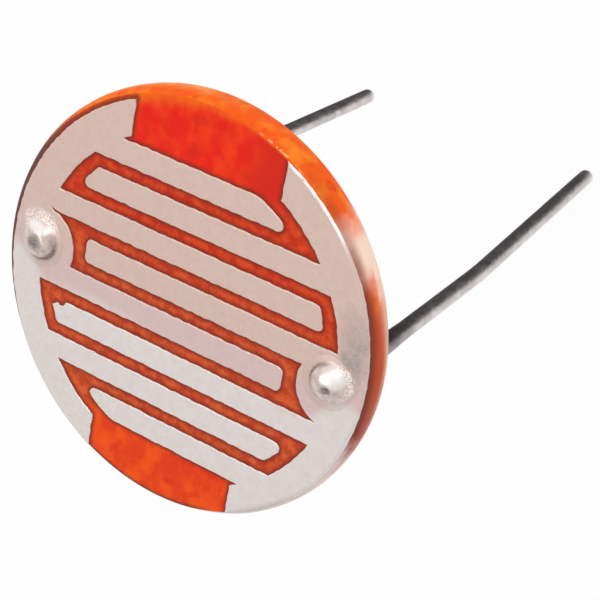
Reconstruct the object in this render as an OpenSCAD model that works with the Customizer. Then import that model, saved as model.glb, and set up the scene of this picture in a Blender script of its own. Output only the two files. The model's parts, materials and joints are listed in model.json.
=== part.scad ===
// Photoresistor of the 12 mm class: a ceramic disc with a light-sensitive layer on its face and rim,
// two interleaved metal comb electrodes on that layer, and two wire leads that pass through the disc
// and end under a rounded contact bump on each electrode.
// The back of the disc lies on z = 0, the face looks along +Z and the leads leave along -Z.
// X runs from the left lead to the right one.

/* [Disc] */
// Diameter of the disc at the middle of its rim
disc_d = 12.2; // [10:0.1:15]
// Thickness of the disc, light-sensitive layer included
disc_t = 1; // [0.7:0.05:2]
// How far the rim bulges out between the face and the back
rim_crown = 0.1; // [0.04:0.01:0.2]
// Thickness of the light-sensitive layer on the face and the rim
layer_t = 0.06; // [0.03:0.01:0.12]

/* [Electrodes] */
// Thickness of the metal film
film_t = 0.03; // [0.02:0.005:0.06]
// Width of a finger
finger_w = 0.73; // [0.5:0.01:0.9]
// Width of the bare track between two fingers
track_w = 0.37; // [0.25:0.01:0.5]
// Distance from a finger's tip to the border of the other electrode
tip_gap = 0.41; // [0.3:0.01:0.6]
// Radius of the corners at a finger's tip
tip_round = 0.18; // [0.1:0.01:0.22]
// Radius of the pointed corner at the tip of the outermost finger
point_round = 0.17; // [0.05:0.01:0.25]
// Radius of the blunt corner at the tip of the outermost finger
blunt_round = 0.5; // [0.2:0.05:0.5]
// Width of the border that the fingers grow from
border_w = 0.985; // [0.7:0.005:1.2]
// Distance from the border's outer edge to the disc's widest circle
border_inset = 0.125; // [0:0.005:0.2]
// Width of the bare window that parts the two borders at the top and at the bottom
window_w = 4.88; // [3:0.02:5.6]
// Diameter of the pad around a lead
pad_d = 2.24; // [2:0.02:2.6]
// How far a pad's centre lies outside its lead's place on the pattern
pad_out = 0.06; // [0:0.01:0.2]
// How far the right pad's centre lies below its lead's place on the pattern
pad_drop = 0.21; // [0:0.01:0.25]
// Turn of the fingers against the line through the leads, in degrees
pattern_turn = 1.2; // [0:0.1:3]
// Shift of the pattern along X against the disc
pattern_shift_x = 0.1; // [0:0.01:0.15]
// Shift of the pattern along Y against the disc
pattern_shift_y = -0.12; // [-0.15:0.01:0]

/* [Leads] */
// Diameter of the lead wire
lead_d = 0.5; // [0.4:0.01:0.6]
// Distance from a lead's middle to the disc's widest circle
lead_inset = 1.2; // [1:0.05:1.6]
// Length of a lead behind the disc, along the wire
lead_l = 17; // [13:0.5:30]
// Clearance around the wire in its hole
hole_clearance = 0.05; // [0.03:0.01:0.1]
// How far the hole flares at the disc's back, beyond the tinned root
mouth_clearance = 0.05; // [0.03:0.01:0.1]
// Depth of the flare
mouth_l = 0.12; // [0.08:0.01:0.2]
// How much wider than its hole the tinned root is, on each side
root_lip = 0.02; // [0.01:0.01:0.1]
// Length over which the tinned root tapers to the bare wire
root_taper_l = 2.4; // [1:0.1:4]
// Straight length behind the disc before the first bend
exit_l = 0.7; // [0.5:0.1:2]
// How far the wire's surface swells at a bend
bend_swell = 0.01; // [0.005:0.005:0.03]
// Lean of the left lead, in degrees
left_lean = 1.4; // [0.5:0.1:5]
// Direction of the left lead's lean, in degrees from X
left_lean_dir = 90; // [0:1:359]
// First lean of the right lead, in degrees
right_lean = 3.3; // [0.5:0.1:6]
// Direction of the right lead's lean, in degrees from X
right_lean_dir = 146; // [0:1:359]
// Second bend of the right lead, in degrees, in the same direction
right_kink = 2.5; // [0.5:0.1:6]
// Length between the right lead's two bends
right_kink_l = 7.2; // [5:0.1:9]

/* [Contacts] */
// Diameter of the contact bump
bump_d = 1.1; // [0.9:0.02:1.3]
// Height of the contact bump above the film
bump_h = 0.34; // [0.26:0.02:0.45]
// Width of the thin skirt around the bump
skirt_w = 0.23; // [0.1:0.01:0.25]
// Height of the skirt where it meets the bump
skirt_h = 0.06; // [0.03:0.01:0.1]
// How far the wire's end reaches into the bump
wire_end_l = 0.14; // [0.08:0.01:0.18]

/* [Hidden] */
$fn = 96;
// Points along each small computed arc
arc_steps = 8;
// Length of the root's cone, as a share of the taper: the rest goes on inside the wire
taper_reach = 1.25;

disc_r = disc_d / 2;
face_r = disc_r - rim_crown;
face_z = disc_t;
film_z = face_z + film_t;
ceramic_t = disc_t - layer_t;
// Radius and centre of the rim's bulge, which spans the disc's whole thickness
crown_r = (disc_t * disc_t / 4 + rim_crown * rim_crown) / (2 * rim_crown);
crown_x = disc_r - crown_r;

finger_pitch = finger_w + track_w;
border_r = disc_r - border_inset;
border_inner_r = border_r - border_w;
border_mid_r = border_r - border_w / 2;
tip_r = border_inner_r - tip_gap;
// Fingers above the middle line, which are as many as those below it
half_fingers = floor(tip_r / finger_pitch);
pad_r = pad_d / 2;

lead_x = disc_r - lead_inset;
pad_x = lead_x + pad_out;
hole_d = lead_d + 2 * hole_clearance;
hole_r = hole_d / 2;
root_d = hole_d + 2 * root_lip;
root_r = root_d / 2;
lead_r = lead_d / 2;
mouth_r = root_r + mouth_clearance;
skirt_d = bump_d + 2 * skirt_w;
// The radius of the sphere that the bump is cut from
bump_r = (bump_d * bump_d / 4 + bump_h * bump_h) / (2 * bump_h);

// Points of an arc around a centre, from one angle to another
function arc(centre, radius, from, to) = [
    for (i = [0 : arc_steps])
        let (a = from + (to - from) * i / arc_steps)
            centre + radius * [cos(a), sin(a)]
];

// Centre of a corner arc that touches the tip circle from inside
function tip_corner(y, radius) = [sqrt(pow(tip_r - radius, 2) - y * y), y];

function angle_of(point) = atan2(point[1], point[0]);

// Tip of a long finger: it follows the tip circle between its two rounded corners
function long_tip(y, low_round, high_round) =
    let (
        low = tip_corner(y - finger_w / 2 + low_round, low_round),
        high = tip_corner(y + finger_w / 2 - high_round, high_round)
    )
    concat(
        arc(low, low_round, -90, angle_of(low)),
        arc([0, 0], tip_r, angle_of(low), angle_of(high)),
        arc(high, high_round, angle_of(high), 90)
    );

// Tip of a finger that ends square in front of the other electrode's pad
function short_tip(y) =
    let (
        end_x = pad_x - pad_r - tip_gap - tip_round,
        dy = finger_w / 2 - tip_round
    )
    concat(
        arc([end_x, y - dy], tip_round, -90, 0),
        arc([end_x, y + dy], tip_round, 0, 90)
    );

// The tip of the outermost finger has one pointed corner and one blunt one
function corner_round(y, pointed) =
    abs(y) < (half_fingers - 1) * finger_pitch ? tip_round
        : pointed ? point_round
        : blunt_round;

function finger_tip(y) =
    abs(y) < finger_pitch
        ? short_tip(y)
        : long_tip(y, corner_round(y, y > 0), corner_round(y, y < 0));

// A finger that grows from the left border
module finger(y) {
    near = abs(y) - finger_w / 2;
    far = abs(y) + finger_w / 2;
    // The root ends inside the border, between its inner edge and its outer one
    root_x = -(sqrt(pow(border_inner_r, 2) - near * near) + sqrt(pow(border_r, 2) - far * far)) / 2;
    polygon(concat([[root_x, y + finger_w / 2], [root_x, y - finger_w / 2]], finger_tip(y)));
}

// The left half of the border, up to the windows
module border_half() {
    difference() {
        circle(border_r);
        circle(border_inner_r);
        translate([-window_w / 2, -disc_d]) square(2 * disc_d);
    }
}

// The left comb, in the pattern's own frame
module comb() {
    difference() {
        union() {
            border_half();
            for (i = [0 : half_fingers - 1])
                finger((half_fingers - 0.5 - 2 * i) * finger_pitch);
        }
        translate([pad_x, -pad_drop]) circle(pad_r + track_w);
    }
    intersection() {
        translate([-pad_x, pad_drop]) circle(pad_r);
        circle(border_mid_r);
    }
}

// A metal film on the face: side 0 is the left comb, side 1 the right one, half a turn on
module electrode(side) {
    translate([0, 0, face_z])
        linear_extrude(film_t)
            difference() {
                intersection() {
                    translate([pattern_shift_x, pattern_shift_y])
                        rotate(pattern_turn + 180 * side) comb();
                    circle(face_r);
                }
                lead_places() circle(d = hole_d);
            }
}

module lead_places() {
    for (side = [-1, 1])
        translate([side * lead_x, 0]) children();
}

// Depth above the disc's back at which the flare of a hole has this radius
function flare_z(r) = (mouth_r - r) * mouth_l / (mouth_r - hole_r);

// The holes for the leads, which flare towards the disc's back
module lead_holes() {
    low_r = 2 * mouth_r - hole_r;
    top_z = 2 * disc_t;
    lead_places()
        rotate_extrude()
            polygon([[0, -mouth_l], [low_r, -mouth_l], [hole_r, mouth_l], [hole_r, top_z], [0, top_z]]);
}

// Half section of a disc whose rim is set in from the finished rim
module disc_section(height, inset) {
    intersection() {
        square([disc_r, height]);
        union() {
            translate([crown_x, disc_t / 2]) circle(crown_r - inset);
            translate([crown_x - 2 * disc_d, -disc_d]) square(2 * disc_d);
        }
    }
}

module ceramic_disc() {
    color("ivory")
        difference() {
            rotate_extrude() disc_section(ceramic_t, layer_t);
            lead_holes();
        }
}

module photoconductive_layer() {
    color("orangered")
        difference() {
            rotate_extrude()
                difference() {
                    disc_section(disc_t, 0);
                    disc_section(ceramic_t, layer_t);
                }
            lead_holes();
        }
}

module electrode_left() {
    color("tan") electrode(0);
}

module electrode_right() {
    color("tan") electrode(1);
}

// A straight run of wire along -Z, rounded off at its far end
module run(length) {
    rotate_extrude()
        polygon(concat(arc([0, lead_r - length], lead_r, -90, 0), [[lead_r, 0], [0, 0]]));
}

// A bend from -Z towards +X, where the wire swells a little; what follows starts at its middle
module bend(angle, d) {
    sphere(d = d + 2 * bend_swell);
    rotate([0, -angle, 0]) children();
}

// The tinned root behind a bend, which narrows until it runs into the wire
module root_taper() {
    // The cone goes on inside the wire, so that the two cross at the end of the taper
    inner_l = root_taper_l * taper_reach;
    inner_d = root_d - (root_d - lead_d) * taper_reach;
    translate([0, 0, -inner_l]) cylinder(h = inner_l, d1 = inner_d, d2 = root_d);
}

// The wire through the disc and the root, which seats in the flare of its hole, up to the first bend;
// what follows starts at that bend
module lead_root(lean) {
    top_z = film_z + wire_end_l;
    rotate_extrude()
        polygon([
            [0, -exit_l], [root_r, -exit_l], [root_r, flare_z(root_r)],
            [lead_r, flare_z(lead_r)], [lead_r, top_z], [0, top_z],
        ]);
    translate([0, 0, -exit_l])
        bend(lean, root_d) {
            root_taper();
            children();
        }
}

module lead_left() {
    color("silver")
        translate([-lead_x, 0, 0])
            rotate(left_lean_dir)
                lead_root(left_lean) run(lead_l - exit_l);
}

module lead_right() {
    color("silver")
        translate([lead_x, 0, 0])
            rotate(right_lean_dir)
                lead_root(right_lean) {
                    translate([0, 0, -right_kink_l]) {
                        cylinder(h = right_kink_l, d = lead_d);
                        bend(right_kink, lead_d) run(lead_l - exit_l - right_kink_l);
                    }
                }
}

// A rounded bump with a thin skirt, over the end of the wire
module contact(x) {
    translate([x, 0, film_z])
        difference() {
            union() {
                cylinder(h = skirt_h, d1 = skirt_d, d2 = bump_d);
                intersection() {
                    translate([0, 0, bump_h - bump_r]) sphere(bump_r);
                    cylinder(h = bump_h, d = skirt_d);
                }
            }
            translate([0, 0, -wire_end_l]) cylinder(h = 2 * wire_end_l, d = lead_d);
        }
}

module contact_left() {
    color("gainsboro") contact(-lead_x);
}

module contact_right() {
    color("gainsboro") contact(lead_x);
}

ceramic_disc();
photoconductive_layer();
electrode_left();
electrode_right();
lead_left();
lead_right();
contact_left();
contact_right();
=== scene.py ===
"""Looks of a photoresistor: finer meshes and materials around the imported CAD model.

The part's frame holds here: metres, the disc's back on z = 0, its face along +Z and its leads along -Z.
Lengths in this script are in millimetres unless a name or a comment says otherwise.
"""

import json
import math

import bpy
import numpy as np
from mathutils import Matrix, Vector, geometry, noise


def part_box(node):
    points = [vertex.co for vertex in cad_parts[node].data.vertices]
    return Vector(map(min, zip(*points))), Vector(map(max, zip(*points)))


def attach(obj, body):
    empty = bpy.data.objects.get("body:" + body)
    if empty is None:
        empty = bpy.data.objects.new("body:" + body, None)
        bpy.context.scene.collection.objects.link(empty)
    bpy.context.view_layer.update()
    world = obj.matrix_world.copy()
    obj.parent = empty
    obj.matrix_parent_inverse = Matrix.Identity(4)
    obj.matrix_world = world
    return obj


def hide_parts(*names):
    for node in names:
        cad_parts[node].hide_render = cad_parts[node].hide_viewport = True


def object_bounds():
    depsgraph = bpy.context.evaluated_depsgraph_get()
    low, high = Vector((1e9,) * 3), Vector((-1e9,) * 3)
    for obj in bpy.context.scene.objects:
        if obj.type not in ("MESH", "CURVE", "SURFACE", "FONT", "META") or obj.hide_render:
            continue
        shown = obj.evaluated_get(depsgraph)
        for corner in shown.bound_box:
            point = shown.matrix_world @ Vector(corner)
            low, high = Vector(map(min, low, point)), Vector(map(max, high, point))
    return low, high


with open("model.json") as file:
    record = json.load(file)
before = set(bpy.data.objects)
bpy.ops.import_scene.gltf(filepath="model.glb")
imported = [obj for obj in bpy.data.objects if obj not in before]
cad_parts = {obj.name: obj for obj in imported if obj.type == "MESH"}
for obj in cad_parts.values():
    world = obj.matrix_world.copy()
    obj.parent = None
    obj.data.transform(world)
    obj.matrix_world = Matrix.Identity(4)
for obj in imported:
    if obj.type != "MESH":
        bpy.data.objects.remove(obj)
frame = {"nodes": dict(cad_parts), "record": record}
cad_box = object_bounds()
nodes = frame["nodes"]

MM = 0.001

# Sizes that the pieces take from the CAD nodes

layer_low, layer_high = (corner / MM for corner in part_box("photoconductive_layer"))
disc_r = min(layer_high.x, layer_high.y, -layer_low.x, -layer_low.y)
face_z = layer_high.z
film_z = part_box("electrode_left")[1].z / MM
ceramic_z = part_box("ceramic_disc")[1].z / MM
layer_t = face_z - ceramic_z
lead_places = {}
for side in ("left", "right"):
    low, high = (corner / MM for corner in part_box("contact_" + side))
    lead_places[side] = (low.x + high.x) / 2
    contact_r = (high.x - low.x) / 2
    contact_h = high.z - film_z
lead_tip_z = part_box("lead_left")[0].z / MM


def cad_points(name):
    """A CAD node's corner points."""
    return [vertex.co / MM for vertex in nodes[name].data.vertices]


face_points = [point for point in cad_points("photoconductive_layer") if point.z > face_z - 0.001]
face_r = max(math.hypot(point.x, point.y) for point in face_points)
hole_r = min(math.hypot(point.x - lead_places["right"], point.y) for point in face_points)
rim_crown = disc_r - face_r
# The combs' outer edge is a circle around a place a little off the disc's axis
film_centre = (0.1, -0.12)
film_points = [point for point in cad_points("electrode_left") if point.x < 0]
film_r = max(math.hypot(point.x - film_centre[0], point.y - film_centre[1]) for point in film_points)


# Camera, fitted to the photograph: its place, where it looks, what is up in the picture, and its lens

camera_place = Vector((23.78, 23.85, 39.15))
camera_forward = Vector((-0.4172, -0.4537, -0.7875))
camera_up = Vector((-0.3925, 0.8715, -0.2942))
camera_lens = 112.21
camera_sensor = 36


def make_camera():
    """A camera at the photograph's angle, for a square picture; its clip distances are in metres."""
    data = bpy.data.cameras.new("camera")
    camera = bpy.data.objects.new("camera", data)
    bpy.context.scene.collection.objects.link(camera)
    data.sensor_width = camera_sensor
    data.lens = camera_lens
    data.clip_start = 0.001
    data.clip_end = 10
    forward = camera_forward.normalized()
    right = forward.cross(camera_up).normalized()
    up = right.cross(forward)
    turn = Matrix((right, up, -forward)).transposed().to_4x4()
    camera.matrix_world = Matrix.Translation(camera_place * MM) @ turn
    bpy.context.scene.camera = camera


make_camera()


# Node materials

class Paint:
    """A material's node tree, with short calls for the nodes that it needs."""

    def __init__(self, name, **settings):
        self.material = bpy.data.materials.new(name)
        self.material.use_nodes = True
        self.tree = self.material.node_tree
        self.shader = self.tree.nodes["Principled BSDF"]
        for socket, value in settings.items():
            self.shader.inputs[socket.replace("_", " ")].default_value = value
        place = self.tree.nodes.new("ShaderNodeTexCoord").outputs["Object"]
        scaled = self.tree.nodes.new("ShaderNodeVectorMath")
        scaled.operation = "SCALE"
        scaled.inputs["Scale"].default_value = 1 / MM
        self.tree.links.new(place, scaled.inputs[0])
        self.place = scaled.outputs["Vector"]

    def put(self, socket, value):
        """Links a socket to another, or sets it to a value."""
        if isinstance(value, bpy.types.NodeSocket):
            self.tree.links.new(value, socket)
        elif socket.type == "RGBA":
            socket.default_value = (*value, 1)
        else:
            socket.default_value = value

    def finish(self, **links):
        """Links the shader's sockets."""
        for socket, value in links.items():
            self.put(self.shader.inputs[socket.replace("_", " ")], value)
        return self.material

    def axes(self):
        """The three coordinates of the place."""
        node = self.tree.nodes.new("ShaderNodeSeparateXYZ")
        self.put(node.inputs[0], self.place)
        return node.outputs

    def attribute(self, name):
        """A number that the mesh keeps at its points."""
        node = self.tree.nodes.new("ShaderNodeAttribute")
        node.attribute_name = name
        return node.outputs["Fac"]

    def calc(self, operation, first, second=0.0):
        """The result of a sum with one or two values."""
        node = self.tree.nodes.new("ShaderNodeMath")
        node.operation = operation
        self.put(node.inputs[0], first)
        self.put(node.inputs[1], second)
        return node.outputs[0]

    def product(self, *values):
        """All the values multiplied."""
        result = values[0]
        for value in values[1:]:
            result = self.calc("MULTIPLY", result, value)
        return result

    def stretch(self, value, low, high, to_low=0.0, to_high=1.0):
        """Maps a value from one range to another, with soft ends."""
        node = self.tree.nodes.new("ShaderNodeMapRange")
        node.interpolation_type = "SMOOTHSTEP"
        for socket, number in zip(("Value", "From Min", "From Max", "To Min", "To Max"),
                                  (value, low, high, to_low, to_high)):
            self.put(node.inputs[socket], number)
        return node.outputs["Result"]

    def band(self, value, low, high, soft):
        """1 between two values and 0 outside them, over a soft edge on each side."""
        rise = self.stretch(value, low - soft, low + soft)
        fall = self.stretch(value, high + soft, high - soft)
        return self.product(rise, fall)

    def radius(self):
        """Distance from the disc's axis."""
        x, y = self.axes()[:2]
        return self.calc("SQRT", self.calc("ADD", self.product(x, x), self.product(y, y)))

    def turn(self):
        """Angle around the disc's axis in degrees, from X, between -180 and 180."""
        x, y = self.axes()[:2]
        return self.calc("MULTIPLY", self.calc("ARCTAN2", y, x), math.degrees(1))

    def noise(self, size, detail=2.0, roughness=0.5, shift=0.0, squeeze=(1, 1, 1)):
        """Noise around 0.5, whose features are about this wide; squeeze makes them narrower along an axis."""
        moved = self.tree.nodes.new("ShaderNodeVectorMath")
        moved.operation = "MULTIPLY_ADD"
        self.put(moved.inputs[0], self.place)
        moved.inputs[1].default_value = squeeze
        moved.inputs[2].default_value = (shift, -shift, shift)
        node = self.tree.nodes.new("ShaderNodeTexNoise")
        self.put(node.inputs["Vector"], moved.outputs["Vector"])
        node.inputs["Scale"].default_value = 1 / size
        node.inputs["Detail"].default_value = detail
        node.inputs["Roughness"].default_value = roughness
        return node.outputs["Fac"]

    def wander(self, value, reach, size, shift=0.0):
        """A value that strays by up to about this much to each side."""
        stray = self.calc("SUBTRACT", self.noise(size, shift=shift), 0.5)
        return self.calc("ADD", value, self.product(stray, 4 * reach))

    def mix(self, share, first, second):
        """A colour between two others."""
        node = self.tree.nodes.new("ShaderNodeMix")
        node.data_type = "RGBA"
        colours = [socket for socket in node.inputs if socket.type == "RGBA"]
        self.put(node.inputs["Factor"], share)
        self.put(colours[0], first)
        self.put(colours[1], second)
        return next(socket for socket in node.outputs if socket.type == "RGBA")

    def bump(self, height, strength, distance):
        """A normal that follows a height."""
        node = self.tree.nodes.new("ShaderNodeBump")
        node.inputs["Strength"].default_value = strength
        node.inputs["Distance"].default_value = distance * MM
        self.put(node.inputs["Height"], height)
        return node.outputs["Normal"]


def colour(red, green, blue):
    """A colour given as the eye sees it, from 0 to 255, as the linear one that shaders use."""
    shares = (red / 255, green / 255, blue / 255)
    return tuple(s / 12.92 if s <= 0.04045 else ((s + 0.055) / 1.055) ** 2.4 for s in shares)


def window_tone(paint, radius, turn):
    """The bare windows: red at the top with orange towards the rim, orange-red at the bottom."""
    y = paint.axes()["Y"]
    streaks = paint.stretch(paint.noise(0.65, 4, squeeze=(1.2, 0.9, 1)), 0.36, 0.66)
    spots = paint.stretch(paint.noise(0.45, 2, shift=7), 0.56, 0.7)
    upper = paint.mix(streaks, colour(226, 38, 28), colour(236, 62, 28))
    upper = paint.mix(paint.stretch(turn, 82, 66), upper, colour(208, 44, 31))
    lower = paint.mix(streaks, colour(220, 62, 30), colour(234, 84, 28))
    tone = paint.mix(paint.stretch(y, -1.5, 1.5), lower, upper)
    tone = paint.mix(paint.product(spots, 0.5), tone, colour(204, 46, 31))
    # The orange begins closer to the face's edge the further it lies to the right
    start = paint.calc("ADD", radius, paint.product(paint.calc("SUBTRACT", turn, 76), 0.0075))
    start = paint.wander(start, 0.12, 0.5, shift=3)
    edge = paint.product(paint.stretch(start, face_r - 0.22, face_r + 0.16), paint.band(turn, 50, 150, 8))
    return paint.mix(edge, tone, colour(236, 98, 28))


def rim_tone(paint, turn):
    """The rim: orange at the top, with rusty painted shade at the right, pale painted highlights, and painted
    shade beside the face.
    """
    z = paint.axes()["Z"]
    height = paint.calc("DIVIDE", z, face_z)
    left_shade = paint.product(paint.stretch(height, 0.3, 0.6), shaded_side(paint, turn), 0.92)
    turn = paint.wander(turn, 4, 0.7, shift=12)
    patches = paint.stretch(paint.noise(0.7, 3, shift=2), 0.4, 0.68)
    tone = paint.mix(patches, colour(234, 90, 24), colour(240, 126, 34))
    # Paler in streaks at the top, towards the back: a painted highlight
    back_sheen = paint.product(paint.stretch(height, 0.9, 0.35), paint.band(turn, 94, 120, 8))
    tone = paint.mix(paint.product(back_sheen, 0.75), tone, colour(242, 148, 60))
    streaks = paint.stretch(paint.noise(0.4, 3, shift=25), 0.45, 0.6)
    tone = paint.mix(paint.product(back_sheen, streaks, 0.35), tone, colour(247, 198, 140))
    spots = paint.stretch(paint.noise(0.3, 2, shift=15), 0.6, 0.7)
    tone = paint.mix(paint.product(spots, 0.6), tone, colour(206, 62, 28))
    # Painted shade at the right in rusty tones, pale towards the back as a painted highlight, duller below
    # that, and a pale painted reflection at the lower right
    right_shade_and_glare = paint.mix(paint.stretch(height, 0.05, 0.5), colour(240, 188, 156), colour(194, 80, 46))
    low_shade_and_glare = paint.mix(paint.stretch(height, 0.1, 0.6), colour(222, 156, 134), colour(176, 88, 68))
    right_shade_and_glare = paint.mix(paint.stretch(turn, 8, -8), right_shade_and_glare, low_shade_and_glare)
    # The pale stretch reaches further up beside the face
    pale_turn = paint.calc("SUBTRACT", turn, paint.product(paint.stretch(height, 0.72, 0.9), 6))
    right_shade_and_glare = paint.mix(paint.stretch(pale_turn, -10, -29), right_shade_and_glare, colour(240, 218, 212))
    tone = paint.mix(paint.band(turn, -75, 24, 8), tone, right_shade_and_glare)
    # A pale painted highlight, which runs out along the back
    tail = paint.product(paint.stretch(height, 0.7, 0.1), paint.band(turn, 14, 45, 8), 0.55)
    wide = paint.product(paint.stretch(height, 0.6, 0.35), paint.band(turn, 25, 45, 5))
    pale = paint.calc("MAXIMUM", paint.calc("MAXIMUM", tail, wide), paint.band(turn, 30, 45, 6))
    tone = paint.mix(pale, tone, colour(246, 214, 194))
    # Painted shade beside the face at the right and at the bottom, and on the left edge
    dark = paint.product(paint.band(turn, -14, 34, 14), 0.55)
    dark = paint.calc("ADD", dark, paint.product(paint.band(turn, -14, 58, 8), 0.48))
    beside_face = paint.product(paint.stretch(height, 0.6, 0.95), dark)
    tone = paint.mix(beside_face, tone, colour(130, 62, 50))
    low = paint.product(paint.stretch(height, 0.8, 0.96), paint.stretch(turn, -66, -80), 0.8)
    tone = paint.mix(low, tone, colour(110, 62, 52))
    return paint.mix(left_shade, tone, colour(104, 82, 77))


def shaded_side(paint, turn):
    """1 on the left side of the disc, whose edge is painted in shade."""
    return paint.stretch(paint.calc("ABSOLUTE", turn), 132, 156)


def layer_paint():
    """The light-sensitive layer: mottled red and orange, with painted shade beside the metal film and at its
    edges, and a painted glint.
    """
    paint = Paint("photoconductor", Specular_IOR_Level=0.04)
    radius = paint.radius()
    turn = paint.turn()
    y, z = paint.axes()[1:]

    # Tracks between the fingers, and windows above and below them
    grain = paint.stretch(paint.noise(0.3, 4, 0.6, shift=5), 0.35, 0.68)
    track = paint.mix(grain, colour(190, 48, 28), colour(216, 76, 37))
    low_track = paint.mix(grain, colour(180, 64, 38), colour(212, 94, 51))
    track = paint.mix(paint.stretch(y, 2.6, -0.4), track, low_track)
    in_window = paint.calc("ADD", paint.stretch(y, 3.7, 4.3), paint.stretch(y, -4.0, -4.5))
    tone = paint.mix(in_window, track, window_tone(paint, radius, turn))

    # Painted shade: a soft dark line beside the film's edge; the face's edge at the upper right is painted
    # lit instead
    distance = paint.wander(paint.attribute("film_distance"), 0.02, 0.1, shift=11)
    lit_edge = paint.product(paint.stretch(radius, face_r - 0.14, face_r - 0.08), paint.band(turn, 44, 80, 5))
    line = paint.product(paint.stretch(distance, 0.18, -0.03), paint.calc("SUBTRACT", 1.0, lit_edge))
    tone = paint.mix(line, tone, colour(128, 45, 33))
    tone = paint.mix(lit_edge, tone, colour(232, 92, 30))
    # A brown strip beside the film at the upper left
    beside_film = paint.stretch(distance, 0.22, 0.04)
    brown = paint.product(beside_film, paint.stretch(radius, face_r - 0.26, face_r - 0.16))
    tone = paint.mix(paint.product(brown, paint.band(turn, 108, 150, 4), 0.75), tone, colour(146, 58, 40))

    # Painted shade darkens the face's edge on the left and below
    reach = paint.wander(radius, 0.015, 0.3)
    left_edge_shade = paint.product(shaded_side(paint, turn), paint.stretch(reach, face_r - 0.19, face_r - 0.13))
    low_reach = paint.wander(radius, 0.025, 0.25, shift=31)
    below = paint.stretch(turn, -65, -78)
    low_edge_shade = paint.product(below, paint.stretch(low_reach, face_r - 0.17, face_r - 0.06))
    tone = paint.mix(paint.product(low_edge_shade, 0.85), tone, colour(106, 62, 54))
    tone = paint.mix(paint.product(left_edge_shade, 0.9), tone, colour(98, 74, 70))

    on_rim = paint.stretch(z, face_z - 0.002, face_z - 0.015)
    tone = paint.mix(on_rim, tone, rim_tone(paint, turn))
    # A painted glint on the edge between face and rim beside the top window
    edge_glint = paint.product(paint.band(radius, face_r - 0.06, face_r - 0.03, 0.02), paint.band(turn, 62, 75, 4))
    glint_breaks = paint.stretch(paint.noise(0.14, 2, shift=28), 0.48, 0.58)
    tone = paint.mix(paint.product(edge_glint, glint_breaks, 0.65), tone, colour(255, 220, 184))

    rough = paint.stretch(paint.noise(0.3, 2, shift=1), 0.3, 0.7, 0.42, 0.6)
    grit = paint.bump(paint.noise(0.05, 3, shift=9), 0.2, 0.01)
    return paint.finish(Base_Color=tone, Roughness=rough, Normal=grit)


def blot(paint, centre, reach, stray, shift):
    """1 inside a ragged oval around a place on the face, and 0 outside it."""
    x, y = paint.axes()[:2]
    across = paint.calc("DIVIDE", paint.calc("SUBTRACT", x, centre[0]), reach[0])
    along = paint.calc("DIVIDE", paint.calc("SUBTRACT", y, centre[1]), reach[1])
    away = paint.calc("ADD", paint.product(across, across), paint.product(along, along))
    return paint.stretch(paint.wander(away, stray, 0.4, shift=shift), 1.1, 0.1)


# Where a highlight is painted over the wires' ends, at the left bump and at the right one: place from the
# wire's axis, and reach along x and y
highlight_middles = (((-0.06, 0.42), (0.5, 0.18)), ((0.2, 0.25), (0.42, 0.34)))
highlight_specks = (((-0.08, 0.5), (0.68, 0.56)), ((0.28, 0.16), (0.58, 0.6)))


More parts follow.
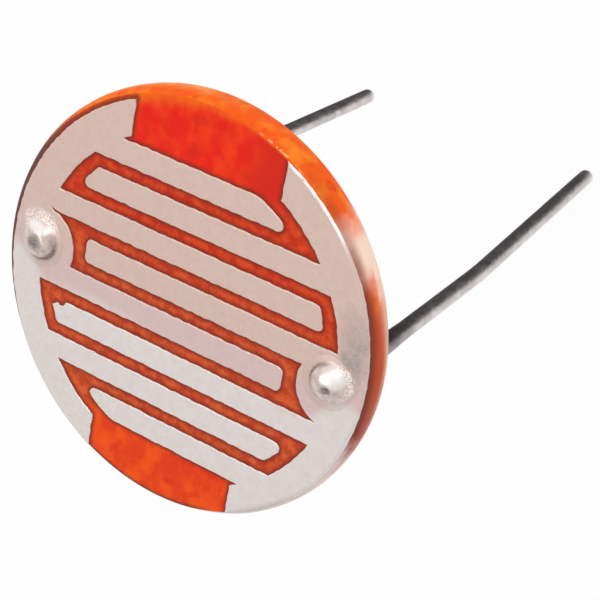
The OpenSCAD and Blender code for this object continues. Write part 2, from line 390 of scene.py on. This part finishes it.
def film_tone(paint):
    """Beige above, pink in the middle and pale grey below as a painted reflection, with smudges, painted
    shade and highlights at the edges, and painted highlight specks.
    """
    x, y = paint.axes()[:2]
    # The painted reflection's grey reaches higher on the borders than on the fingers
    on_border = paint.stretch(paint.calc("ABSOLUTE", x), 4.4, 5.6)
    height = paint.calc("SUBTRACT", paint.wander(y, 0.25, 2.5), paint.product(on_border, 0.8))
    warm = paint.mix(paint.stretch(height, -0.45, 0.1), colour(214, 186, 183), colour(213, 184, 172))
    tone = paint.mix(paint.stretch(height, -1.4, -0.9), colour(225, 219, 216), warm)
    # A smudge above the right bump, and a fainter one beside it
    smudge = blot(paint, (5.45, 1.0), (0.5, 1.3), 0.25, 4)
    tone = paint.mix(smudge, tone, colour(171, 152, 147))
    faint = blot(paint, (5.2, 1.75), (0.5, 0.8), 0.3, 29)
    tone = paint.mix(paint.product(faint, 0.6), tone, colour(186, 161, 153))
    # Painted shade makes the edge at the lower right greyer, where it rounds off
    turn = paint.turn()
    low_edge_shade = paint.stretch(paint.radius(), face_r - 0.24, face_r - 0.04)
    tone = paint.mix(paint.product(low_edge_shade, paint.band(turn, -62, -40, 7), 0.6), tone, colour(176, 165, 163))
    # Clouds and grain of the metal
    cloud = paint.stretch(paint.noise(0.3, 3, shift=16), 0.35, 0.65)
    tone = paint.mix(paint.product(cloud, 0.2), tone, colour(222, 198, 188))
    light_grain = paint.stretch(paint.noise(0.07, 2, shift=6), 0.4, 0.7)
    tone = paint.mix(paint.product(light_grain, 0.25), tone, colour(226, 204, 192))
    dark_grain = paint.stretch(paint.noise(0.16, 3, shift=18), 0.45, 0.7)
    tone = paint.mix(paint.product(dark_grain, 0.12), tone, colour(190, 168, 162))
    # Painted shade darkens the edge on the left in places
    edge = paint.stretch(paint.radius(), face_r - 0.09, face_r - 0.03)
    gaps = paint.stretch(paint.noise(0.25, 3, shift=24), 0.4, 0.55)
    edge = paint.product(edge, gaps, shaded_side(paint, turn), 0.75)
    tone = paint.mix(edge, tone, colour(104, 84, 80))
    # A painted highlight along the outer edge at the upper right, broken in places
    across = paint.calc("SUBTRACT", x, film_centre[0])
    along = paint.calc("SUBTRACT", y, film_centre[1])
    reach = paint.calc("SQRT", paint.calc("ADD", paint.product(across, across), paint.product(along, along)))
    edge_glint = paint.stretch(paint.wander(reach, 0.012, 0.2, shift=26), film_r - 0.1, film_r - 0.05)
    glint_breaks = paint.stretch(paint.noise(0.2, 2, shift=27), 0.3, 0.5)
    tone = paint.mix(paint.product(edge_glint, glint_breaks, paint.band(turn, 41, 77, 4)), tone, colour(255, 250, 246))
    # Painted highlight specks beside the two bumps
    specks = paint.stretch(paint.noise(0.05, 1, shift=21), 0.4, 0.54)
    specks = paint.product(specks, paint.stretch(highlight_spots(paint, highlight_specks), 0.0, 0.7), 0.9)
    tone = paint.mix(specks, tone, colour(252, 238, 232))
    # A painted highlight over each wire's end
    painted_highlight = paint.product(highlight_spots(paint, highlight_middles), 0.85)
    return paint.mix(painted_highlight, tone, colour(252, 246, 243))


def highlight_spots(paint, spots):
    """1 on a painted highlight at either bump, and 0 outside them."""
    blots = []
    for lead_x, ((x, y), reach) in zip(lead_places.values(), spots):
        blots.append(blot(paint, (lead_x + x, y), reach, 0.2, 22))
    return paint.calc("MAXIMUM", *blots)


def film_paint():
    """Evaporated metal under lacquer."""
    paint = Paint("electrode_film", Metallic=0.3, Specular_IOR_Level=0.3, Coat_Weight=1.0,
                  Coat_Roughness=0.12)
    rough = paint.stretch(paint.noise(0.25, 3, shift=8), 0.3, 0.7, 0.45, 0.58)
    grit = paint.bump(paint.noise(0.04, 3), 0.08, 0.008)
    return paint.finish(Base_Color=film_tone(paint), Roughness=rough, Normal=grit)


def contact_paint():
    """The bright bump over a wire's end: like the film at its foot, rougher and painted in shade in its pit
    and creases, with a painted highlight.
    """
    paint = Paint("contact_metal", Metallic=0.3, Coat_Weight=1.0, Coat_Roughness=0.15)
    mottle = paint.stretch(paint.noise(0.06, 2, shift=30), 0.36, 0.58, 0.6, 1.0)
    dull = paint.product(paint.attribute("dull"), mottle)
    clouds = paint.stretch(paint.noise(0.2, 3), 0.35, 0.65)
    bump = paint.mix(clouds, colour(194, 170, 164), colour(222, 204, 197))
    # A painted highlight over the wire's end
    painted_highlight = paint.product(highlight_spots(paint, highlight_middles), 0.85)
    bump = paint.mix(painted_highlight, bump, colour(252, 246, 243))
    tone = paint.mix(paint.attribute("foot"), bump, film_tone(paint))
    tone = paint.mix(dull, tone, colour(92, 78, 76))
    rough = paint.stretch(paint.noise(0.12, 2, shift=3), 0.3, 0.7, 0.3, 0.45)
    rough = paint.calc("ADD", rough, paint.product(dull, 0.25))
    return paint.finish(Base_Color=tone, Roughness=rough, Normal=paint.bump(paint.noise(0.15, 2), 0.12, 0.01))


def lead_paint():
    """Tinned wire, darker where it leaves the disc."""
    paint = Paint("lead_wire", Metallic=1.0)
    z = paint.axes()["Z"]
    blotches = paint.stretch(paint.noise(0.5, 3), 0.35, 0.65)
    tone = paint.mix(blotches, colour(212, 205, 204), colour(232, 226, 224))
    root = paint.stretch(paint.wander(z, 0.5, 0.6, shift=5), -4.5, -1.2)
    tone = paint.mix(paint.product(root, 0.65), tone, colour(62, 52, 56))
    rough = paint.stretch(paint.noise(0.2, 2, shift=2), 0.3, 0.7, 0.44, 0.6)
    return paint.finish(Base_Color=tone, Roughness=rough, Normal=paint.bump(paint.noise(0.14, 3), 0.6, 0.03))


def ceramic_paint():
    """Pressed ceramic, off-white with fine dark specks."""
    paint = Paint("ceramic", Specular_IOR_Level=0.3)
    clouds = paint.stretch(paint.noise(1.6, 3), 0.35, 0.65)
    tone = paint.mix(clouds, colour(232, 226, 214), colour(240, 236, 228))
    specks = paint.stretch(paint.noise(0.12, 1, shift=4), 0.68, 0.76)
    tone = paint.mix(paint.product(specks, 0.5), tone, colour(170, 158, 140))
    rough = paint.stretch(paint.noise(0.4, 2, shift=1), 0.3, 0.7, 0.6, 0.75)
    grit = paint.bump(paint.noise(0.08, 3), 0.35, 0.015)
    return paint.finish(Base_Color=tone, Roughness=rough, Normal=grit)


paints = {
    "ceramic": ceramic_paint(),
    "photoconductor": layer_paint(),
    "electrode_film": film_paint(),
    "lead_wire": lead_paint(),
    "contact_metal": contact_paint(),
}


def dress(piece, slot):
    """Gives a piece the material of one of the record's slots."""
    piece.data.materials.clear()
    piece.data.materials.append(paints[slot])


# Pieces

# Radius of the rounding along the face's edge and the back's
edge_soft = 0.08
# How far in from the disc's edge an outline still counts as lying on it
rim_reach = 0.1
# How far an outline may lie from a place that is looked for on it
near = 0.06


def surface_z(x, y):
    """Height of the layer's face, which rounds off at its edge."""
    over = max(0.0, math.hypot(x, y) - (face_r - edge_soft))
    return face_z - edge_soft + math.sqrt(max(0.0, edge_soft**2 - over**2))


def new_piece(name, points, faces, node, slot, **values):
    """A mesh piece that stands for a CAD node, with named values at its points."""
    mesh = bpy.data.meshes.new(name)
    mesh.from_pydata([tuple(c * MM for c in point) for point in points], [], faces)
    mesh.update()
    mesh.shade_smooth()
    for value_name, numbers in values.items():
        attribute = mesh.attributes.new(value_name, "FLOAT", "POINT")
        attribute.data.foreach_set("value", np.asarray(numbers, np.float32))
    piece = bpy.data.objects.new(name, mesh)
    bpy.context.scene.collection.objects.link(piece)
    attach(piece, "root")
    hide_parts(node)
    dress(piece, slot)
    return piece


def film_loops(name):
    """The closed outlines of one electrode film, each as an array of points with the film on their left."""
    mesh = nodes[name].data
    follows = {}
    for polygon in mesh.polygons:
        corners = [mesh.vertices[i].co / MM for i in polygon.vertices]
        if min(corner.z for corner in corners) < film_z - 0.001:
            continue
        keys = [(round(corner.x, 5), round(corner.y, 5)) for corner in corners]
        for start, end in zip(keys, keys[1:] + keys[:1]):
            if follows.get(end) and start in follows[end]:
                follows[end].remove(start)
            else:
                follows.setdefault(start, []).append(end)
    loops = []
    starts = [key for key, ends in follows.items() if ends]
    for first in starts:
        loop = []
        here = first
        while follows[here]:
            loop.append(here)
            here = follows[here].pop()
        if loop:
            loops.append(np.array(loop))
    return loops


def ragged(loop, spacing=0.04, reach=0.024, size=0.2):
    """An outline with points at an even spacing, which strays a little to each side as a film's edge does."""
    points = []
    for start, end in zip(loop, np.roll(loop, -1, 0)):
        steps = max(1, round(math.dist(start, end) / spacing))
        points += [start + (end - start) * step / steps for step in range(steps)]
    points = np.array(points)
    side = outline_sides(points)
    stray = [noise.noise(Vector((x / size, y / size, 0.3))) for x, y in points]
    # The edge that lies on the disc's own edge stays there
    inside = np.clip((face_r - np.hypot(*points.T)) / rim_reach, 0, 1)
    return points + side * (np.array(stray) * reach * inside)[:, None]


def outline_sides(points):
    """For each point of a closed outline, the step to its left that moves both its sides by one unit."""
    ahead = np.roll(points, -1, 0) - points
    ahead /= np.linalg.norm(ahead, axis=1)[:, None]
    left = np.column_stack([-ahead[:, 1], ahead[:, 0]])
    left_before = np.roll(left, 1, 0)
    middle = left + left_before
    # At a sharp corner the step would be very long, so it is held to a small multiple
    return middle / np.maximum((middle**2).sum(1) / 2, 0.5)[:, None]


def draw_out(loop, corner, end, width):
    """An outline whose corner at one place runs on to another as a narrow cut."""
    away = np.hypot(*(loop - corner).T)
    k = away.argmin()
    if away[k] > near:
        return loop
    along = (end - loop[k]) / math.dist(end, loop[k])
    half = np.array((-along[1], along[0])) * width / 2
    return np.concatenate([loop[:k], [loop[k] + half, end, loop[k] - half], loop[k + 1:]])


def chipped(loop, line):
    """An outline that follows a line from the place where the line begins to the place where it ends."""
    away_from_end = np.hypot(*(loop - line[-1]).T)
    rest = np.roll(loop, -away_from_end.argmin(), 0)
    away_from_start = np.hypot(*(rest - line[0]).T)
    if max(away_from_start.min(), away_from_end.min()) > near:
        return loop
    return np.concatenate([rest[:away_from_start.argmin() + 1], line[1:-1]])


# The cut beside the left pad ends in a hairline: its start, its end and its width
hairline = (np.array((-4.57, 1.07)), np.array((-4.76, 1.17)), 0.05)
# The tip of one finger is chipped along this line
chip = np.array(((-3.69, -1.465), (-3.75, -1.51), (-3.82, -1.64), (-3.94, -1.68), (-4.02, -1.62),
                 (-4.11, -1.66), (-4.18, -1.75)))
film_edges = {}
for side in lead_places:
    outlines = [draw_out(loop, *hairline) for loop in film_loops("electrode_" + side)]
    film_edges[side] = [chipped(ragged(outline), chip) for outline in outlines]


def film_outlines():
    """The outlines of both electrode films, as pairs of points."""
    loops = film_edges["left"] + film_edges["right"]
    return np.concatenate([np.stack([loop, np.roll(loop, -1, 0)], 1) for loop in loops])


def film_distance(points, outlines):
    """Distance from each point to the nearest film outline, below zero under the film."""
    starts = outlines[:, 0]
    along = outlines[:, 1] - starts
    lengths = (along**2).sum(1)
    distances = np.empty(len(points))
    under = np.empty(len(points), bool)
    for index, point in enumerate(points):
        share = np.clip(((point - starts) * along).sum(1) / lengths, 0, 1)
        distances[index] = np.sqrt(((starts + along * share[:, None] - point) ** 2).sum(1).min())
        rises = (starts[:, 1] > point[1]) != (outlines[:, 1, 1] > point[1])
        crossings = starts[rises, 0] + (point[1] - starts[rises, 1]) / along[rises, 1] * along[rises, 0]
        under[index] = (crossings > point[0]).sum() % 2 == 1
    return np.where(under, -distances, distances)


def disc_grid(count):
    """Points of a square grid bent to a disc of radius 1, row by row."""
    rows = []
    for j in range(count + 1):
        for i in range(count + 1):
            u = 2 * i / count - 1
            v = 2 * j / count - 1
            if u == 0 and v == 0:
                rows.append((0.0, 0.0))
            elif abs(u) > abs(v):
                rows.append((u * math.cos(math.pi / 4 * v / u), u * math.sin(math.pi / 4 * v / u)))
            else:
                rows.append((v * math.sin(math.pi / 4 * u / v), v * math.cos(math.pi / 4 * u / v)))
    return np.array(rows)


def grid_border(count):
    """Indices of the grid's outermost points, anticlockwise."""
    width = count + 1
    border = list(range(width))
    border += [j * width + count for j in range(1, width)]
    border += [count * width + i for i in range(count - 1, -1, -1)]
    border += [j * width for j in range(count - 1, 0, -1)]
    return border


def layer_profile(soft):
    """Radius and height of the layer's section, from the face's edge over the rim and up inside it."""
    crown_r = (face_z**2 / 4 + rim_crown**2) / (2 * rim_crown)

    def rim_r(z, inset):
        return disc_r - crown_r + math.sqrt((crown_r - inset) ** 2 - (z - face_z / 2) ** 2)

    profile = []
    for step in range(1, 6):
        tilt = math.pi / 2 * step / 5
        profile.append((face_r - soft + soft * math.sin(tilt), face_z - soft + soft * math.cos(tilt)))
    for step in range(1, 13):
        z = face_z - soft - (face_z - 2 * soft) * step / 12
        profile.append((rim_r(z, 0), z))
    for step in range(1, 5):
        tilt = math.pi / 2 * step / 4
        profile.append((face_r - soft + soft * math.cos(tilt), soft - soft * math.sin(tilt)))
    for step in range(6):
        z = ceramic_z * step / 6
        profile.append((rim_r(z, layer_t), z))
    return profile, rim_r(ceramic_z, layer_t)


def make_layer():
    """The light-sensitive layer as a shell over the ceramic's face and rim, with softened edges."""
    count = 176
    soft = edge_soft
    grid = disc_grid(count)
    border = grid_border(count)
    profile, inner_r = layer_profile(soft)
    face = grid * (face_r - soft)
    points = [(x, y, face_z) for x, y in face]
    inner_start = len(points)
    points += [(x, y, ceramic_z) for x, y in grid * inner_r]

    # The face and its underside, open where the leads pass through
    width = count + 1
    faces = []
    for j in range(count):
        for i in range(count):
            corner = j * width + i
            quad = (corner, corner + 1, corner + 1 + width, corner + width)
            middle = sum(face[k] for k in quad) / 4
            if all(math.hypot(middle[0] - x, middle[1]) > hole_r for x in lead_places.values()):
                faces.append(quad)
    edges = {}
    for quad in faces:
        for start, end in zip(quad, quad[1:] + quad[:1]):
            edges[(start, end)] = True
    outer = set(zip(border, border[1:] + border[:1]))
    hole_edges = [edge for edge in edges if edge[::-1] not in edges and edge not in outer]
    faces += [tuple(inner_start + k for k in reversed(quad)) for quad in faces]
    faces += [(end, start, inner_start + start, inner_start + end) for start, end in hole_edges]

    # The rim, ring by ring
    ring_before = border
    for radius, z in profile:
        ring = list(range(len(points), len(points) + len(border)))
        points += [(grid[k][0] * radius, grid[k][1] * radius, z) for k in border]
        faces += band_of_faces(ring_before, ring)
        ring_before = ring
    faces += band_of_faces(ring_before, [inner_start + k for k in border])

    places = np.array(points)
    on_face = places[:, 2] > face_z - 1.01 * soft
    distances = np.full(len(points), 1.0)
    distances[on_face] = film_distance(places[on_face, :2], film_outlines())
    piece = new_piece("light_sensitive_layer", points, faces, "photoconductive_layer", "photoconductor",
                      film_distance=distances)
    piece.data.set_sharp_from_angle(angle=math.radians(50))


def band_of_faces(ring, next_ring):
    """Quads between two closed rings of points."""
    return [(ring[k - 1], next_ring[k - 1], next_ring[k], ring[k]) for k in range(len(ring))]


# Place and radius of the pit in each bump's top, and the stretch of its foot that is creased, in degrees,
# with the crease's half width
contact_forms = {
    "left": ((-0.05, 0.0), 0.23, (-120, 25), 0.065),
    "right": ((0.12, -0.09), 0.14, (95, 250), 0.04),
}


def make_contact(side):
    """A smooth bump with a thin skirt, slightly uneven, with a pit in its top and a crease at its foot."""
    rings = 40
    spokes = 72
    dome_r = 0.5
    crease_r = 0.53
    skirt_h = 0.05
    slope_w = 0.12
    uneven_h = 0.012
    pit_d = 0.06
    crease_d = 0.02
    least_h = 0.002
    centre_x = lead_places[side]
    pit_place, pit_r, (crease_from, crease_to), crease_w = contact_forms[side]
    points = []
    dull = []
    foot = []
    for i in range(rings + 1):
        radius = contact_r * i / rings
        for k in range(spokes if i else 1):
            turn = 2 * math.pi * k / spokes
            x = radius * math.cos(turn)
            y = radius * math.sin(turn)
            # Steep where it is creased, and a soft slope elsewhere
            within = (math.degrees(turn) - crease_from) % 360 / (crease_to - crease_from)
            creased = math.sin(math.pi * within) ** 0.5 if 0 < within < 1 else 0.0
            share = radius / (dome_r + slope_w * (1 - creased))
            dome = max(0.0, 1 - share**2) ** (1.2 - 0.65 * creased) * (contact_h - skirt_h)
            skirt = skirt_h * min(1.0, 2 * max(0.0, 1 - radius / contact_r))
            stray = noise.noise(Vector((x * 4 + centre_x, y * 4, 1.7)))
            uneven = uneven_h * stray * (1 - radius / contact_r)
            pit = math.exp(-((math.hypot(x - pit_place[0], y - pit_place[1]) / pit_r) ** 4))
            crease = creased * math.exp(-(((radius - crease_r) / crease_w) ** 2))
            height = dome + skirt + uneven - pit_d * pit - crease_d * crease
            points.append((centre_x + x, y, film_z + min(contact_h, max(least_h, height))))
            # The pit and the crease are rougher and painted in shade
            dull.append(max(0.88 * pit, crease))
            foot.append(min(1.0, max(0.0, (share - 0.8) / 0.25)))
    faces = [(0, 1 + k, 1 + (k + 1) % spokes) for k in range(spokes)]
    ring_starts = [1 + i * spokes for i in range(rings)]
    for start in ring_starts[:-1]:
        ring = list(range(start, start + spokes))
        faces += band_of_faces(ring, [k + spokes for k in ring])
    last = list(range(ring_starts[-1], ring_starts[-1] + spokes))
    base = [k + spokes for k in last]
    points += [(points[k][0], points[k][1], film_z) for k in last]
    dull += [0.0] * spokes
    foot += [1.0] * spokes
    faces += band_of_faces(last, base)
    faces.append(tuple(reversed(base)))
    new_piece("contact_bump_" + side, points, faces, "contact_" + side, "contact_metal", dull=dull, foot=foot)


def edge_widths(loop):
    """How far inwards a film's edge rounds off at each point of its outline."""
    # Further where the outline lies on the disc's own edge
    plain_w = 0.035
    rim_extra = 0.06
    at_rim = np.clip(1 - (face_r - np.hypot(*loop.T)) / rim_reach, 0, 1)
    widths = plain_w + rim_extra * at_rim
    # Less near a sharp outward corner, where the rounding of both sides would cross
    sharp = math.radians(25)
    corner_w = 0.001
    growth = 0.25
    before = loop - np.roll(loop, 1, 0)
    after = np.roll(loop, -1, 0) - loop
    turns = np.arctan2(before[:, 0] * after[:, 1] - before[:, 1] * after[:, 0], (before * after).sum(1))
    for corner in loop[turns > sharp]:
        widths = np.minimum(widths, corner_w + growth * np.hypot(*(loop - corner).T))
    return widths


def make_film(side):
    """An electrode's metal film, with edges that round off and follow the layer over the disc's edge."""
    film_t = film_z - face_z
    steps = 5
    points = []
    faces = []
    top_loops = []
    foot_loops = []
    for loop in film_edges[side]:
        inwards = outline_sides(loop) * edge_widths(loop)[:, None]
        # From the flat of the underside out to the edge, and round it to the flat of the top
        shares = [(1, 0)]
        for step in range(steps + 1):
            tilt = math.pi / 2 * step / steps
            shares.append((1 - math.cos(tilt), math.sin(tilt)))
        ring_before = None
        for inward, upward in shares:
            ring = list(range(len(points), len(points) + len(loop)))
            points += [(x, y, surface_z(x, y) + film_t * upward) for x, y in loop + inwards * inward]
            if ring_before:
                faces += band_of_faces(ring, ring_before)
            else:
                foot_loops.append(ring)
            ring_before = ring
        top_loops.append(ring_before)
    round_faces = len(faces)
    faces += flat_faces(points, top_loops)
    faces += [tuple(reversed(face)) for face in flat_faces(points, foot_loops)]
    piece = new_piece("comb_film_" + side, points, faces, "electrode_" + side, "electrode_film")
    # Only the rounded edge is shaded smooth
    piece.data.polygons.foreach_set("use_smooth", [index < round_faces for index in range(len(faces))])


def flat_faces(points, loops):
    """Triangles that fill a flat outline with holes."""
    order = [k for loop in loops for k in loop]
    triangles = geometry.tessellate_polygon([[Vector((*points[k][:2], 0)) for k in loop] for loop in loops])
    upright = []
    for triangle in triangles:
        a, b, c = (order[k] for k in triangle)
        (ax, ay), (bx, by), (cx, cy) = (points[k][:2] for k in (a, b, c))
        turned = (bx - ax) * (cy - ay) - (by - ay) * (cx - ax)
        upright.append((a, b, c) if turned > 0 else (a, c, b))
    return upright


make_layer()
for side in lead_places:
    make_contact(side)
    make_film(side)
    dress(nodes["lead_" + side], "lead_wire")
dress(nodes["ceramic_disc"], "ceramic")


# Floor, world and lamps

def new_stage_piece(name, points):
    """A flat four-cornered piece of the stage, which isn't part of the object."""
    mesh = bpy.data.meshes.new(name)
    mesh.from_pydata([tuple(c * MM for c in point) for point in points], [], [(0, 1, 2, 3)])
    piece = bpy.data.objects.new(name, mesh)
    bpy.context.scene.collection.objects.link(piece)
    material = bpy.data.materials.new(name)
    material.use_nodes = True
    material.node_tree.nodes.clear()
    mesh.materials.append(material)
    return piece, material.node_tree


def make_floor():
    """A pale floor under the leads' ends, white to the eye and in reflections, with the object's shadow."""
    gap = 0.2
    half = 1500
    z = cad_box[0].z / MM - gap
    corners = [(-half, -half, z), (half, -half, z), (half, half, z), (-half, half, z)]
    floor, tree = new_stage_piece("floor", corners)
    matte = tree.nodes.new("ShaderNodeBsdfDiffuse")
    matte.inputs["Color"].default_value = (0.9, 0.9, 0.9, 1)
    glow = tree.nodes.new("ShaderNodeEmission")
    rays = tree.nodes.new("ShaderNodeLightPath")
    seen = rays.outputs["Is Camera Ray"]
    for kind in ("Is Glossy Ray", "Is Transmission Ray"):
        either = tree.nodes.new("ShaderNodeMath")
        either.operation = "MAXIMUM"
        tree.links.new(seen, either.inputs[0])
        tree.links.new(rays.outputs[kind], either.inputs[1])
        seen = either.outputs[0]
    share = tree.nodes.new("ShaderNodeMath")
    share.operation = "MULTIPLY"
    share.inputs[1].default_value = 0.93
    tree.links.new(seen, share.inputs[0])
    blend = tree.nodes.new("ShaderNodeMixShader")
    tree.links.new(share.outputs[0], blend.inputs["Fac"])
    tree.links.new(matte.outputs[0], blend.inputs[1])
    tree.links.new(glow.outputs[0], blend.inputs[2])
    output = tree.nodes.new("ShaderNodeOutputMaterial")
    tree.links.new(blend.outputs[0], output.inputs["Surface"])


def make_world():
    """Soft light all round: white at the horizon, dim overhead."""
    world = bpy.data.worlds.new("world")
    bpy.context.scene.world = world
    world.use_nodes = True
    tree = world.node_tree
    background = tree.nodes["Background"]
    background.inputs["Color"].default_value = (1, 1, 1, 1)
    place = tree.nodes.new("ShaderNodeTexCoord")
    split = tree.nodes.new("ShaderNodeSeparateXYZ")
    tree.links.new(place.outputs["Generated"], split.inputs[0])
    fade = tree.nodes.new("ShaderNodeMapRange")
    fade.interpolation_type = "SMOOTHSTEP"
    tree.links.new(split.outputs["Z"], fade.inputs["Value"])
    fade.inputs["From Min"].default_value = 0.15
    fade.inputs["From Max"].default_value = 0.75
    fade.inputs["To Min"].default_value = 0.9
    fade.inputs["To Max"].default_value = 0.4
    tree.links.new(fade.outputs["Result"], background.inputs["Strength"])


def make_lamp(name, direction, distance, size, power):
    """A square soft light that looks at the disc; distance and size are in metres."""
    data = bpy.data.lights.new(name, "AREA")
    data.shape = "SQUARE"
    data.size = size
    data.energy = power
    lamp = bpy.data.objects.new(name, data)
    bpy.context.scene.collection.objects.link(lamp)
    away = Vector(direction).normalized()
    lamp.location = away * distance
    lamp.rotation_mode = "QUATERNION"
    lamp.rotation_quaternion = away.to_track_quat("Z", "Y")


def make_dark_card(side):
    """A dark card along a lead, which only reflections show: it gives the wire a dark side."""
    half_w = 4
    tip_gap = 0.32
    root_gap = 0.75
    root_z = -1
    mount = next(mount for mount in frame["record"]["mounts"] if mount["name"] == "lead_" + side)
    on_axis = Vector(mount["pos_m"]) / MM
    axis = Vector(mount["axis"])
    tip = on_axis + axis * ((lead_tip_z - on_axis.z) / axis.z)
    root = on_axis + axis * ((root_z - on_axis.z) / axis.z)
    turn = math.radians(17)
    across = Vector((math.cos(turn), math.sin(turn), 0)) * half_w
    behind = Vector((-math.sin(turn), math.cos(turn), 0))
    tip += behind * tip_gap
    root += behind * root_gap
    card, tree = new_stage_piece("card_" + side, [tip - across, tip + across, root + across, root - across])
    grey = tree.nodes.new("ShaderNodeEmission")
    grey.inputs["Color"].default_value = (1, 0.92, 0.98, 1)
    grey.inputs["Strength"].default_value = 0.03
    output = tree.nodes.new("ShaderNodeOutputMaterial")
    tree.links.new(grey.outputs[0], output.inputs["Surface"])
    for kind in ("camera", "diffuse", "transmission", "shadow", "volume_scatter"):
        setattr(card, "visible_" + kind, False)


make_floor()
make_world()
for side in lead_places:
    make_dark_card(side)
make_lamp("key", (0.25, 0.75, 0.6), 0.6, 0.17, 1.27)
make_lamp("fill", (-0.3, 0.1, 0.95), 0.6, 0.38, 1.35)
bpy.context.scene.view_settings.view_transform = "Standard"
